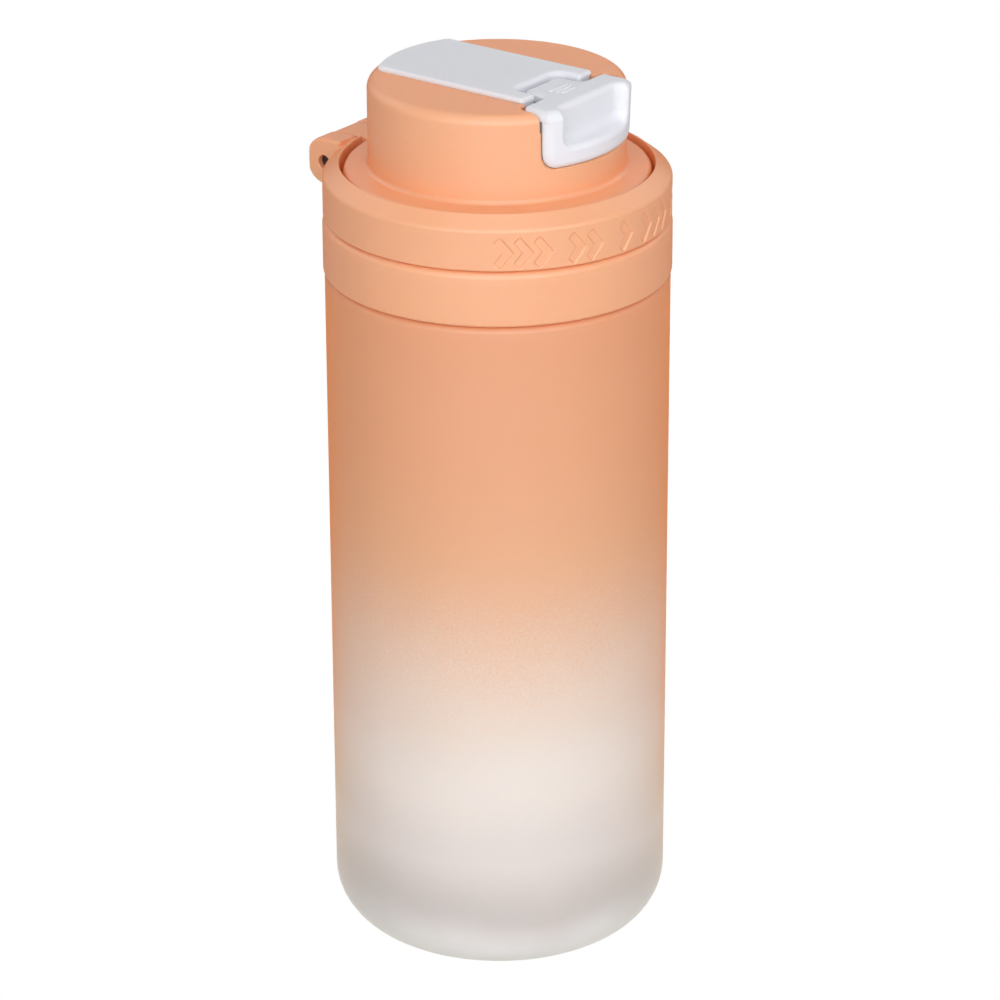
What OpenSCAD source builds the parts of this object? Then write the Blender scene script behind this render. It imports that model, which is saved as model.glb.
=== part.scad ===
// Sports bottle with a screw lid, a flip cap on a rear hinge pin and a rocker latch.
// Millimetres, +Z up. The origin is the centre of the base on the surface it stands on.
// The latch faces -Y and the hinge is at +Y.

/* [Bottle] */
// Outside diameter of the barrel
body_d = 73; // [72.6:0.1:73.4]
// Height of the shoulder that the neck ring stands on
shoulder_z = 151.6; // [140:0.1:152]
// Radius of the rounded bottom edge
base_fillet = 11.2; // [8:0.1:13]
// Wall thickness of the bottle
wall = 2.4; // [1.8:0.1:3]
// Depth of the dish under the base
push_up = 3; // [2:0.1:4]

/* [Screw thread] */
// Rise of the lid in one turn
lead = 4.5; // [4:0.1:5]
// Length of each thread in turns
thread_turns = 1.2; // [1:0.05:1.25]

/* [Lid] */
// Outside diameter of the neck ring
ring_d = 73.6; // [73.2:0.1:74]
// Outside diameter of the lid collar
collar_d = 73.3; // [73:0.1:73.6]
// Outside diameter of the dome of the flip cap
dome_d = 54.1; // [53.8:0.1:54.4]
// Diameter of the flange of the flip cap
flange_d = 64.6; // [64:0.1:65]
// Depth of the arrow marks on the collar
mark_depth = 0.5; // [0.2:0.1:0.8]
// Outside diameter of the drinking spout
spout_d = 26; // [22:0.5:26]

/* [Hinge and latch] */
// Diameter of the hinge pin
hinge_pin_d = 3; // [2.4:0.1:3.2]
// Distance of the hinge pin from the bottle's axis
hinge_y = 38.5; // [38.4:0.1:38.8]
// Width of the centre knuckle
knuckle_w = 7.8; // [7:0.1:8.2]
// Width over both hinge ears
ears_w = 20.4; // [18:0.2:22]
// Width of the latch button
latch_w = 29.2; // [29:0.1:30]
// Diameter of the latch pin
latch_pin_d = 2; // [1.6:0.1:2.2]

/* [Hidden] */
$fn = 96;

peach = [0.98, 0.70, 0.54];
frost = [0.93, 0.86, 0.81];
white = [0.93, 0.93, 0.95];
clear_white = [0.88, 0.88, 0.89];
steel = [0.35, 0.35, 0.37];
silicone = [0.80, 0.81, 0.82];

R = body_d / 2;
dish_rim = 20;
dish_r = (dish_rim * dish_rim + push_up * push_up) / (2 * push_up);
neck_or = 30.4;
neck_ir = 28;
neck_top = shoulder_z + 15;

// Everything on the lid is set out from the shoulder.
zb = shoulder_z;
ring_r = ring_d / 2;
collar_r = collar_d / 2;
collar_z0 = zb + 12.3;
rim_z = zb + 23.5;
rim_r = 33.05;
deck_z0 = zb + 16.65;
deck_z1 = zb + 18.8;
flange_r = flange_d / 2;
dome_r = dome_d / 2;
dome_wall = 2;
dome_top = zb + 42.1;
dome_fillet = 2.2;
strip_top = zb + 43.15;
spout_r = spout_d / 2;
spout_bore = spout_r - 2;
spout_top = zb + 31.4;

hy = hinge_y;
hz = zb + 18.1;
pin_r = hinge_pin_d / 2;
kn_x = knuckle_w / 2;
ear_x0 = kn_x + 0.35;
ear_x1 = ears_w / 2;
lobe_r = 4.6;
barrel_r = 4.45;

// Latch rocker: pivot, outer face, top and travel room.
ly = -19;
lz = zb + 31.9;
lpin_r = latch_pin_d / 2;
latch_x = latch_w / 2;
latch_r = 27.7;
latch_z0 = zb + 30.0;
latch_top = dome_top + 0.3;
cheek_x0 = 8.4;
cheek_x1 = 10;

/* ---------- shared shapes ---------- */

// Section of a ring with rounded outer edges, for turning.
module band(r0, z0, r1, z1, rb, rt) {
    difference() {
        translate([r0, z0]) square([r1 - r0, z1 - z0]);
        if (rb > 0) difference() {
            translate([r1 - rb, z0 - 1]) square([rb + 1, rb + 1]);
            translate([r1 - rb, z0 + rb]) circle(rb);
        }
        if (rt > 0) difference() {
            translate([r1 - rt, z1 - rt]) square([rt + 1, rt + 1]);
            translate([r1 - rt, z1 - rt]) circle(rt);
        }
    }
}

// Rod along X at (y, z).
module rod(r, x0, x1, y, z) {
    translate([x0, y, z]) rotate([0, 90, 0]) cylinder(r = r, h = x1 - x0);
}

// Flat shape drawn in (y, z), spread over x0 to x1.
module yz(x0, x1) {
    translate([x0, 0, 0]) rotate([90, 0, 90]) linear_extrude(x1 - x0) children();
}

// Flat shape drawn in (x, z), spread over y0 to y1.
module xz(y0, y1) {
    translate([0, y1, 0]) rotate([90, 0, 0]) linear_extrude(y1 - y0) children();
}

// Block between two corners.
module blk(a, b) { translate(a) cube([b[0] - a[0], b[1] - a[1], b[2] - a[2]]); }

// Rectangle whose two lower corners are rounded.
module round_low(x0, z0, x1, z1, r) {
    difference() {
        translate([x0, z0]) square([x1 - x0, z1 - z0]);
        difference() {
            translate([x0 - 1, z0 - 1]) square([r + 1, r + 1]);
            translate([x0 + r, z0 + r]) circle(r);
        }
        difference() {
            translate([x1 - r, z0 - 1]) square([r + 1, r + 1]);
            translate([x1 - r, z0 + r]) circle(r);
        }
    }
}

// Rectangle whose two upper corners are rounded.
module round_high(x0, y0, x1, y1, r) { mirror([0, 1]) round_low(x0, -y1, x1, -y0, r); }

// Tube through a row of rings of equal length.
module swept(rings) {
    n = len(rings);
    m = len(rings[0]);
    polyhedron(
        points = [for (r = rings) each r],
        faces = concat(
            [[for (j = [0:m - 1]) j]],
            [for (i = [0:n - 2]) for (j = [0:m - 1])
                let (a = i * m + j, b = i * m + (j + 1) % m, c = (i + 1) * m + (j + 1) % m, d = (i + 1) * m + j)
                each [[a, d, c], [a, c, b]]],
            [[for (j = [m - 1:-1:0]) (n - 1) * m + j]]));
}

// Helical ridge: root and crest radius, width at each, height of its start.
module ridge(r_root, r_crest, w_root, w_crest, z0) {
    steps = 40;
    deep = r_crest > r_root ? -0.5 : 0.5;
    swept([for (i = [0:steps])
        let (a = 360 * thread_turns * i / steps,
             z = z0 + lead * a / 360,
             k = min(1, min(i, steps - i) / 3),
             rc = r_root + (r_crest - r_root) * (0.1 + 0.9 * k))
        [for (p = [[r_root + deep, -w_root / 2], [rc, -w_crest / 2], [rc, w_crest / 2], [r_root + deep, w_root / 2]])
            [p[0] * cos(a), p[0] * sin(a), z + p[1]]]]);
}

// Coil of round wire along +Z.
module coil(r, wire, pitch, turns, sides) {
    per = 18;
    n = ceil(per * turns);
    swept([for (i = [0:n])
        let (a = 360 * turns * i / n, z = pitch * turns * i / n)
        [for (j = [0:sides - 1])
            let (b = -360 * j / sides, q = r + wire / 2 * cos(b))
            [q * cos(a), q * sin(a), z + wire / 2 * sin(b)]]]);
}

/* ---------- bottle ---------- */

module bottle_body() {
    color(frost) union() {
        rotate_extrude() difference() {
            union() {
                band(0, 0, R, zb, base_fillet, 1.5);
                translate([0, zb - 2]) square([neck_or, neck_top - zb + 2]);
                // bead that keeps the neck ring down
                translate([0, zb + 3.5]) square([neck_or + 0.5, 1]);
            }
            difference() {
                band(0, wall, R - wall, zb - 3, base_fillet - wall, 5);
                translate([0, push_up - dish_r]) circle(dish_r + wall);
            }
            translate([0, zb - 20]) square([neck_ir, 60]);
            translate([0, push_up - dish_r]) circle(dish_r);
        }
        ridge(neck_or, 31.9, 2, 1, zb + 7.0);
    }
}

// Fixed band round the foot of the neck; the lid's skirt runs inside it.
module neck_ring() {
    color(peach) rotate_extrude() union() {
        band(34.7, zb + 0.2, ring_r, zb + 12.1, 0.8, 1.6);
        translate([30.7, zb + 0.6]) square([4.5, 2.6]);
        translate([31.4, zb]) square([2.4, 1.2]);
    }
}

module neck_gasket() {
    color(silicone) rotate_extrude()
        translate([neck_ir + 0.1, neck_top + 0.05]) square([3.5, 1.5]);
}

/* ---------- screw lid ---------- */

// Deck, drinking spout, threaded skirt and the keeper for the latch hook.
module lid_base() {
    color(peach) difference() {
        union() {
            rotate_extrude() union() {
                translate([spout_bore, deck_z0]) square([34.1 - spout_bore, deck_z1 - deck_z0]);
                translate([32.5, zb + 3.6]) square([1.5, deck_z0 - zb - 3]);
                // lip that centres the gasket
                translate([26.2, deck_z0 - 2.4]) square([1.5, 3]);
                band(spout_bore, deck_z0, spout_r, spout_top, 0, 0.8);
            }
            yz(-4, 4) polygon([[-spout_r + 0.8, zb + 22.2], [-15, zb + 24.2], [-16, zb + 24.2],
                               [-16, zb + 26.4], [-spout_r + 0.8, zb + 26.4]]);
            ridge(32.5, 31.0, 2, 1, zb + 5.15);
        }
        translate([0, 0, deck_z0 - 1]) cylinder(r = spout_bore, h = 40);
        // flat beside the hinge knuckle
        blk([-kn_x - 0.5, 33.7, zb], [kn_x + 0.5, 40, deck_z1 + 1]);
    }
}

// Arrow mark whose point is at the origin and faces +X.
module chevron() {
    polygon([[0, 0], [-2.6, 3.2], [-3.75, 2.15], [-2.1, 0], [-3.75, -2.15], [-2.6, -3.2]]);
}

// Collar with its bevelled rim, the two hinge ears and the arrow marks.
module lid_collar() {
    color(peach) difference() {
        union() {
            rotate_extrude()
                polygon([[rim_r, deck_z1], [rim_r, rim_z - 0.25], [rim_r + 0.3, rim_z],
                         [rim_r + 0.6, rim_z - 0.1], [collar_r - 0.6, collar_z0 + 9.25], [collar_r - 0.2, collar_z0 + 8.8],
                         [collar_r, collar_z0 + 8.2], [collar_r, collar_z0 + 0.6], [collar_r - 0.6, collar_z0],
                         [34.2, collar_z0], [34.2, deck_z1]]);
            for (s = [-1, 1]) yz(s > 0 ? ear_x0 : -ear_x1, s > 0 ? ear_x1 : -ear_x0) union() {
                for (d = [-0.4, 0.8]) translate([hy, hz + d]) circle(lobe_r);
                translate([hy - lobe_r, hz - 0.4]) square([2 * lobe_r, 1.2]);
                polygon([[34.2, hz - 4.2], [34.2, rim_z - 0.1], [hy, hz + lobe_r + 0.8], [hy, hz - lobe_r - 0.4]]);
            }
        }
        // slot for the cap's arm and knuckle
        blk([-ear_x0, 30, hz], [ear_x0, 46, rim_z + 1]);
        blk([-ear_x0, 34, hz - 4.9], [ear_x0, 46, hz + 1]);
        rod(pin_r + 0.02, -20, 20, hy, hz);
        for (c = [0, 1], a = [0, 6.45, 12.9, 24.5, 31.1, 44.1])
            rotate([0, 0, -90 - 48.26 + 54.8 * c + a])
                translate([collar_r - mark_depth, 0, zb + 16.2])
                    rotate([90, 0, 90]) linear_extrude(3) chevron();
    }
}

module hinge_pin() {
    color(steel) rod(pin_r, -ear_x1 + 1.2, ear_x1 - 1.2, hy, hz);
}

// Torsion spring round the pin, inside the centre knuckle.
module hinge_spring() {
    color(steel) translate([-1.4, hy, hz]) rotate([0, 90, 0]) coil(2.3, 0.5, 0.68, 4, 6);
}

/* ---------- flip cap ---------- */

// Outline of the latch opening seen from above.
module latch_top_hole() {
    union() {
        translate([0, -16.4]) round_high(-latch_x - 0.5, -30, latch_x + 0.5, 0, 2.3);
        translate([-12.1, -17]) square([24.2, 9.7]);
    }
}

module flip_lid() {
    color(peach) difference() {
        union() {
            difference() {
                rotate_extrude() difference() {
                    union() {
                        band(0, zb + 19.2, dome_r, dome_top, 0, dome_fillet);
                        // flange with a rounded lip
                        polygon([[20, zb + 19.2], [flange_r - 0.5, zb + 19.2], [flange_r, zb + 19.7], [flange_r, zb + 21.9],
                                 [flange_r - 0.4, zb + 22.65], [flange_r - 1.1, zb + 23.0], [dome_r + 1.3, zb + 23.25],
                                 [dome_r, zb + 24.0], [20, zb + 24.0]]);
                    }
                    band(0, zb, dome_r - dome_wall, dome_top - 2.2, 0, 2);
                }
                // the flange's rear edge swings past the collar's rim
                for (s = [0, 1]) mirror([s, 0, 0]) {
                    translate([kn_x, hy, hz]) rotate([0, 90, 0]) cylinder(r1 = 8.1, r2 = 9.7, h = 12 - kn_x);
                    translate([12, hy, hz]) rotate([0, 90, 0]) cylinder(r1 = 9.7, r2 = 13.65, h = 8);
                }
                // opening for the latch, in the front and in the top
                xz(-40, -16.4) round_low(-latch_x - 0.5, latch_z0 - 0.3, latch_x + 0.5, dome_top + 5, 3.4);
                translate([0, 0, dome_top - 4]) linear_extrude(10) latch_top_hole();
                // holes for the strip's pegs
                for (y = [0, 16]) translate([0, y, dome_top - 5]) cylinder(r = 1.45, h = 8);
            }
            // cheeks that carry the latch pin, and the seat of the latch spring
            for (x = [cheek_x0, -cheek_x1]) yz(x, x + cheek_x1 - cheek_x0) union() {
                polygon([[-24.2, zb + 24], [-24.2, zb + 29.4], [-20.7, zb + 29.6], [-20.7, lz], [-17.2, lz + 2],
                         [-15.2, lz], [-15.2, zb + 24]]);
                translate([ly, lz]) circle(2.2);
            }
            blk([-cheek_x0 - 0.5, -16.4, zb + 28.4], [cheek_x0 + 0.5, -15.2, zb + 37.7]);
            // arm and knuckle
            yz(-kn_x, kn_x) union() {
                for (d = [0, 0.8]) translate([hy, hz + d]) circle(barrel_r);
                translate([hy - barrel_r, hz]) square([2 * barrel_r, 0.8]);
                polygon([[29.5, zb + 19.2], [29.5, zb + 23.2], [31.5, rim_z - 0.2], [34.2, rim_z - 0.15], [hy, hz + barrel_r + 0.8],
                         [hy, hz], [35, zb + 19.2]]);
            }
        }
        rod(pin_r + 0.06, -10, 10, hy, hz);
        // pocket of the torsion spring, open downwards
        rod(3.1, -1.9, 1.9, hy, hz);
        blk([-1.9, hy - 3.1, hz - 8], [1.9, hy + 1.2, hz]);
        rod(lpin_r + 0.02, -12, 12, ly, lz);
    }
}

// Inner plate that closes the dome over the spout and holds the seal.
module seal_carrier() {
    color(clear_white) intersection() {
        rotate_extrude() union() {
            translate([0, zb + 34.4]) square([dome_r - dome_wall - 0.05, 1.6]);
            translate([dome_r - dome_wall - 1.65, zb + 34.4]) square([1.6, 3.2]);
            translate([0, zb + 33.6]) square([4.95, 1]);
        }
        blk([-30, -13.6, zb], [30, 30, zb + 60]);
    }
}

module spout_seal() {
    color(silicone) rotate_extrude() difference() {
        union() {
            translate([0, spout_top + 0.2]) square([spout_r + 0.6, zb + 34.4 - spout_top - 0.2]);
            translate([0, spout_top - 0.6]) square([spout_bore - 0.7, 1]);
        }
        translate([0, zb + 33.6]) square([5, 2]);
    }
}

// Notch of the cover strip seen from above.
module strip_notch() {
    translate([0, -9.7]) round_high(-7.6, -20, 7.6, 0, 2.6);
}

// Cover strip on top of the cap, with the tray that the latch's tongue moves in.
module top_strip() {
    color(white) union() {
        intersection() {
            rotate_extrude() difference() {
                band(0, dome_top - 3, 25.1, strip_top, 0, 0.6);
                band(0, dome_top - 20, dome_r, dome_top, 0, dome_fillet);
            }
            translate([0, 0, dome_top - 5]) linear_extrude(20) difference() {
                translate([0, 6]) mirror([0, 1]) round_high(-12.2, -30, 12.2, 21.6, 0.9);
                strip_notch();
            }
        }
        translate([0, 0, dome_top - 3.5]) linear_extrude(3.7) difference() {
            translate([0, -7.6]) mirror([0, 1]) round_high(-11.9, 0, 11.9, 7.9, 0.8);
            strip_notch();
        }
        translate([0, 0, dome_top - 4]) linear_extrude(1.8)
            translate([0, -7.6]) mirror([0, 1]) round_high(-11.9, 0, 11.9, 7.9, 0.8);
        for (y = [0, 16]) translate([0, y, dome_top - 3.2]) cylinder(r = 1.4, h = 3.6);
    }
}

// Rocker button: front block with its finger scoop, top bar, tongue, hub and hook.
module latch_button() {
    color(white) difference() {
        union() {
            // front block, flush with the dome's roundness
            intersection() {
                rotate_extrude() band(0, zb, latch_r, latch_top, 0, 2.2);
                xz(-40, -21.3) round_low(-latch_x, latch_z0, latch_x, latch_top + 3, 3);
            }
            // top bar and tongue
            intersection() {
                rotate_extrude() band(0, zb, latch_r, latch_top, 0, 2.2);
                translate([0, 0, latch_top - 2.3]) linear_extrude(6)
                    translate([0, -17.2]) round_high(-latch_x, -20, latch_x, 0, 2);
            }
            translate([0, 0, latch_top - 1.7]) linear_extrude(1.7) union() {
                translate([0, -11.2]) round_high(-6, -9, 6, 0, 1.6);
                difference() {
                    translate([-8, -18.4]) square([16, 3.2]);
                    for (s = [-1, 1]) translate([s * 8, -15.2]) circle(2);
                }
            }
            // grip ribs on the tongue
            for (i = [0:2]) blk([-3.2 + 0.45 * i, -16.0 - 1.3 * i, latch_top - 0.3], [3.2 - 0.45 * i, -15.4 - 1.3 * i, latch_top + 0.25]);
            // hub and web
            rod(2.2, -8.1, 8.1, ly, lz);
            blk([-8.1, -21.6, zb + 30.3], [8.1, ly, lz + 1.6]);
            // hook
            yz(-4.5, 4.5) polygon([[-20, lz], [-18, lz], [-18, zb + 24.1], [-16.9, zb + 24.1], [-16.9, zb + 23.3],
                                   [-18, zb + 22.2], [-20, zb + 22.2]]);
        }
        // finger scoop, open at the top
        xz(-40, -23.2) round_low(-11, zb + 34.5, 11, latch_top + 5, 1.4);
        rod(lpin_r + 0.05, -10, 10, ly, lz);
    }
}

module latch_pin() { color(steel) rod(lpin_r, -cheek_x1, cheek_x1, ly, lz); }

// Compression spring that pushes the button back out.
module latch_spring() {
    color(steel) translate([0, -16.75, zb + 36.4]) rotate([90, 0, 0]) coil(1.45, 0.45, 0.95, 4.4, 6);
}

bottle_body();
neck_ring();
neck_gasket();
lid_base();
lid_collar();
hinge_pin();
hinge_spring();
flip_lid();
seal_carrier();
spout_seal();
top_strip();
latch_button();
latch_pin();
latch_spring();
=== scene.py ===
import math

import bpy
import numpy as np
from mathutils import Matrix, Vector


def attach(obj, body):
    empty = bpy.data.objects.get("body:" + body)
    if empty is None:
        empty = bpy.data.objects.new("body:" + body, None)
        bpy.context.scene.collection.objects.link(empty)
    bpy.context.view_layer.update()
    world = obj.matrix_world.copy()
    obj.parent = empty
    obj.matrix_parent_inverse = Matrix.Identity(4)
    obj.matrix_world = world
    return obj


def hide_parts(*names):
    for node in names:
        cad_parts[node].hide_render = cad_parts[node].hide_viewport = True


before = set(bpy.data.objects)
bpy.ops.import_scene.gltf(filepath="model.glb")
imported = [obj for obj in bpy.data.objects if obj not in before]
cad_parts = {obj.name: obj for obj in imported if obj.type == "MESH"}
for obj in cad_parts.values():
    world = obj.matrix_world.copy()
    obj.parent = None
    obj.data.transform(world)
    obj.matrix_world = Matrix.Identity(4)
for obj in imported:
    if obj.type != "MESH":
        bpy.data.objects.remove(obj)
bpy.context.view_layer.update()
scene = bpy.context.scene
scene.view_settings.view_transform = "Standard"
scene.view_settings.look = "None"

# Shapes are worked out in millimetres and turned into metres when a mesh is made.
MM = 0.001

# ---------------------------------------------------------------- camera

CAM_AT = Vector((-682.48, -513.16, 469.16)) * MM
CAM_AIM = Vector((0.0, 0.0, 97.81)) * MM
cam_data = bpy.data.cameras.new("camera")
cam_data.lens = 155.2
cam_data.sensor_width = 36.0
cam_data.shift_x = 0.00146
cam_data.clip_start = 0.05
cam_data.clip_end = 30.0
cam = bpy.data.objects.new("camera", cam_data)
scene.collection.objects.link(cam)
cam.matrix_world = (
    Matrix.Translation(CAM_AT)
    @ (CAM_AIM - CAM_AT).to_track_quat("-Z", "Y").to_matrix().to_4x4()
    @ Matrix.Rotation(-0.0037, 4, "Z")
)
scene.camera = cam

# ---------------------------------------------------------------- distance fields


def rmax(a, b, r):
    """Both shapes at once, with the edge where they meet rounded."""
    if r <= 0:
        return np.maximum(a, b)
    return np.minimum(np.maximum(a, b), -r) + np.hypot(
        np.maximum(a + r, 0), np.maximum(b + r, 0)
    )


def rmin(a, b, r):
    """Either shape, with a fillet in the corner where they meet."""
    return -rmax(-a, -b, r)


def cut(a, b, r=0.0):
    """Shape a with b taken out of it."""
    return rmax(a, -b, r)


def rect(x, y, x0, x1, y0, y1, r=0.0):
    dx = np.abs(x - (x0 + x1) / 2) - (x1 - x0) / 2 + r
    dy = np.abs(y - (y0 + y1) / 2) - (y1 - y0) / 2 + r
    return (
        np.hypot(np.maximum(dx, 0), np.maximum(dy, 0))
        + np.minimum(np.maximum(dx, dy), 0)
        - r
    )


def slab(x, x0, x1):
    return np.abs(x - (x0 + x1) / 2) - (x1 - x0) / 2


def polygon(x, y, pts, r=0.0):
    """Distance to a flat polygon, grown by r with round corners."""
    d = np.full(np.shape(x), 1e9)
    inside = np.zeros(np.shape(x), bool)
    n = len(pts)
    for i in range(n):
        ax, ay = pts[i]
        bx, by = pts[(i + 1) % n]
        ex, ey = bx - ax, by - ay
        wx, wy = x - ax, y - ay
        t = np.clip((wx * ex + wy * ey) / (ex * ex + ey * ey), 0, 1)
        d = np.minimum(d, (wx - ex * t) ** 2 + (wy - ey * t) ** 2)
        if ey:
            inside ^= ((ay > y) != (by > y)) & (x < ex * (y - ay) / ey + ax)
    d = np.sqrt(d)
    return np.where(inside, -d, d) - r


def steps(*spans):
    """Grid lines from spans of (start, end, spacing) that follow each other."""
    out = []
    for a, b, h in spans:
        n = max(1, int(round((b - a) / h)))
        out.append(np.linspace(a, b, n + 1)[:-1])
    out.append(np.array([spans[-1][1]], float))
    return np.concatenate(out)


def both_sides(half):
    return np.concatenate([-half[:0:-1], half])


# ---------------------------------------------------------------- meshes


def mesh_of(name, co, faces, normals=None, smooth=True):
    """A mesh from points in millimetres and faces of equal size."""
    me = bpy.data.meshes.new(name)
    co = np.asarray(co, np.float32) * MM
    faces = np.asarray(faces, np.int32)
    k = faces.shape[1]
    me.vertices.add(len(co))
    me.vertices.foreach_set("co", co.ravel())
    me.loops.add(faces.size)
    me.loops.foreach_set("vertex_index", faces.ravel())
    me.polygons.add(len(faces))
    me.polygons.foreach_set("loop_start", np.arange(0, faces.size, k, dtype=np.int32))
    me.polygons.foreach_set("loop_total", np.full(len(faces), k, np.int32))
    me.polygons.foreach_set("use_smooth", np.full(len(faces), smooth))
    me.update(calc_edges=True)
    me.validate()
    if normals is not None:
        me.normals_split_custom_set_from_vertices(normals.tolist())
    return me


TETRA = np.array([[1, 1, 1], [1, -1, -1], [-1, 1, -1], [-1, -1, 1]], float)


def slope(f, p, h=0.02):
    """Value and gradient of a field at points p."""
    v = [f(p[:, 0] + h * k[0], p[:, 1] + h * k[1], p[:, 2] + h * k[2]) for k in TETRA]
    g = sum(k[None, :] * vi[:, None] for k, vi in zip(TETRA, v)) / (4 * h)
    return sum(v) / 4, g


def skin(name, f, u, v, w, polar=False):
    """The surface where f is 0, on a grid of lines in x, y, z, or in angle, radius, height."""
    u, v, w = (np.asarray(a, float) for a in (u, v, w))

    def place(a, b, c):
        if polar:
            return b * np.cos(a), b * np.sin(a), c
        return a, b, c

    block = 6
    axes = []
    for i, a in enumerate((u, v, w)):
        if polar and i == 0:
            a = np.append(a, a[0] + 2 * math.pi)
        axes.append(a)
    shape = tuple(len(a) for a in axes)
    mids, halves, first, second = [], [], [], []
    for a in axes:
        nb = -(-(len(a) - 1) // block)
        lo = a[np.arange(nb) * block]
        hi = a[np.minimum(np.arange(nb) * block + block, len(a) - 1)]
        mids.append((lo + hi) / 2)
        halves.append((hi - lo) / 2)
        k = np.arange(len(a))
        first.append(np.minimum(k // block, nb - 1))
        second.append(np.maximum((k - 1) // block, 0))
    a, b, c = np.meshgrid(*mids, indexing="ij")
    ha, hb, hc = np.meshgrid(*halves, indexing="ij")
    if polar:
        ha = ha * b
    centre = f(*place(a, b, c))
    near = np.abs(centre) < 1.2 * np.sqrt(ha**2 + hb**2 + hc**2) + 0.3
    wide = near
    wide = wide[first[0]] | wide[second[0]]
    wide = wide[:, first[1]] | wide[:, second[1]]
    wide = wide[:, :, first[2]] | wide[:, :, second[2]]
    field = np.where(centre < 0, -9.0, 9.0).astype(np.float32)
    field = field[first[0]][:, first[1]][:, :, first[2]]
    i, j, k = np.nonzero(wide)
    vals = np.empty(len(i), np.float32)
    for s in range(0, len(i), 400000):
        e = slice(s, s + 400000)
        vals[e] = f(*place(axes[0][i[e]], axes[1][j[e]], axes[2][k[e]]))
    field[i, j, k] = vals
    if polar:
        field[-1] = field[0]
    neg = field < 0
    n0, n1, n2 = (s - 1 for s in shape)
    count = np.zeros((n0, n1, n2), np.uint8)
    corners = [(p, q, r) for p in (0, 1) for q in (0, 1) for r in (0, 1)]
    for p, q, r in corners:
        count += neg[p : p + n0, q : q + n1, r : r + n2]
    i, j, k = np.nonzero((count > 0) & (count < 8))
    val = {c: field[i + c[0], j + c[1], k + c[2]] for c in corners}
    acc = np.zeros((len(i), 3))
    hits = np.zeros(len(i))
    for d in range(3):
        for c in corners:
            if c[d]:
                continue
            e = list(c)
            e[d] = 1
            fa, fb = val[c], val[tuple(e)]
            on = (fa < 0) != (fb < 0)
            t = np.where(on, fa / np.where(on, fa - fb, 1), 0)
            part = np.empty((len(i), 3))
            for m in range(3):
                part[:, m] = t if m == d else c[m]
            acc += part * on[:, None]
            hits += on
    acc /= hits[:, None]
    cell = (i, j, k)
    par = [
        axes[m][cell[m]] + acc[:, m] * (axes[m][cell[m] + 1] - axes[m][cell[m]])
        for m in range(3)
    ]
    pts = np.stack(place(*par), 1)
    size = [axes[m][cell[m] + 1] - axes[m][cell[m]] for m in range(3)]
    if polar:
        size[0] = size[0] * par[1]
    reach = 0.7 * np.sqrt(size[0] ** 2 + size[1] ** 2 + size[2] ** 2)
    start = pts.copy()
    for _ in range(4):
        d, g = slope(f, pts)
        pts = pts - g * (d / np.maximum((g * g).sum(1), 0.2))[:, None]
        off = pts - start
        far = np.linalg.norm(off, axis=1)
        pts = start + off * np.minimum(1, reach / np.maximum(far, 1e-9))[:, None]
    _, g = slope(f, pts)
    normals = g / np.maximum(np.linalg.norm(g, axis=1), 1e-9)[:, None]

    index = np.full((n0, n1, n2), -1, np.int64)
    index[i, j, k] = np.arange(len(i))
    faces = []
    for d in range(3):
        a, b = [m for m in range(3) if m != d]
        low = [slice(None)] * 3
        high = [slice(None)] * 3
        low[d], high[d] = slice(0, -1), slice(1, None)
        change = neg[tuple(low)] != neg[tuple(high)]
        e = np.stack(np.nonzero(change), 1)
        for m in (a, b):
            if polar and m == 0:
                e = e[e[:, m] < n0]
            else:
                e = e[(e[:, m] > 0) & (e[:, m] < (n0, n1, n2)[m])]
        quad = []
        for oa, ob in ((-1, -1), (0, -1), (0, 0), (-1, 0)):
            t = e.copy()
            t[:, a] += oa
            t[:, b] += ob
            if polar:
                t[:, 0] %= n0
            quad.append(index[t[:, 0], t[:, 1], t[:, 2]])
        quad = np.stack(quad, 1)
        inside = neg[e[:, 0], e[:, 1], e[:, 2]]
        turn = inside if d != 1 else ~inside
        if polar:
            turn = ~turn
        quad[~turn] = quad[~turn][:, ::-1]
        faces.append(quad)
    faces = np.concatenate(faces)
    faces = faces[(faces >= 0).all(1)]
    return mesh_of(name, pts, faces, normals)


def rounded(pts, seg=8):
    """A flat outline from (r, z, corner radius) points, with arcs at its corners."""
    out = []
    n = len(pts)
    for i in range(n):
        p = np.array(pts[i][:2], float)
        rad = pts[i][2] if len(pts[i]) > 2 else 0
        if rad <= 0:
            out.append(p)
            continue
        a = np.array(pts[i - 1][:2], float) - p
        b = np.array(pts[(i + 1) % n][:2], float) - p
        a /= np.linalg.norm(a)
        b /= np.linalg.norm(b)
        half = math.acos(np.clip(a @ b, -1, 1)) / 2
        back = rad / math.tan(half)
        mid = (a + b) / np.linalg.norm(a + b) * rad / math.sin(half) + p
        s, e = p + a * back - mid, p + b * back - mid
        turn = math.acos(np.clip((s @ e) / rad**2, -1, 1))
        for t in np.linspace(0, 1, seg + 1):
            out.append(
                mid
                + (s * math.sin((1 - t) * turn) + e * math.sin(t * turn))
                / math.sin(turn)
            )
    return np.array(out)


def refine(line, longest, closed=True):
    """Extra points on the long straight stretches of an outline."""
    out = []
    n = len(line)
    for i in range(n if closed else n - 1):
        a, b = line[i], line[(i + 1) % n]
        k = max(1, int(math.ceil(np.linalg.norm(b - a) / longest)))
        for t in range(k):
            out.append(a + (b - a) * t / k)
    if not closed:
        out.append(line[-1])
    return np.array(out)


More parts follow.
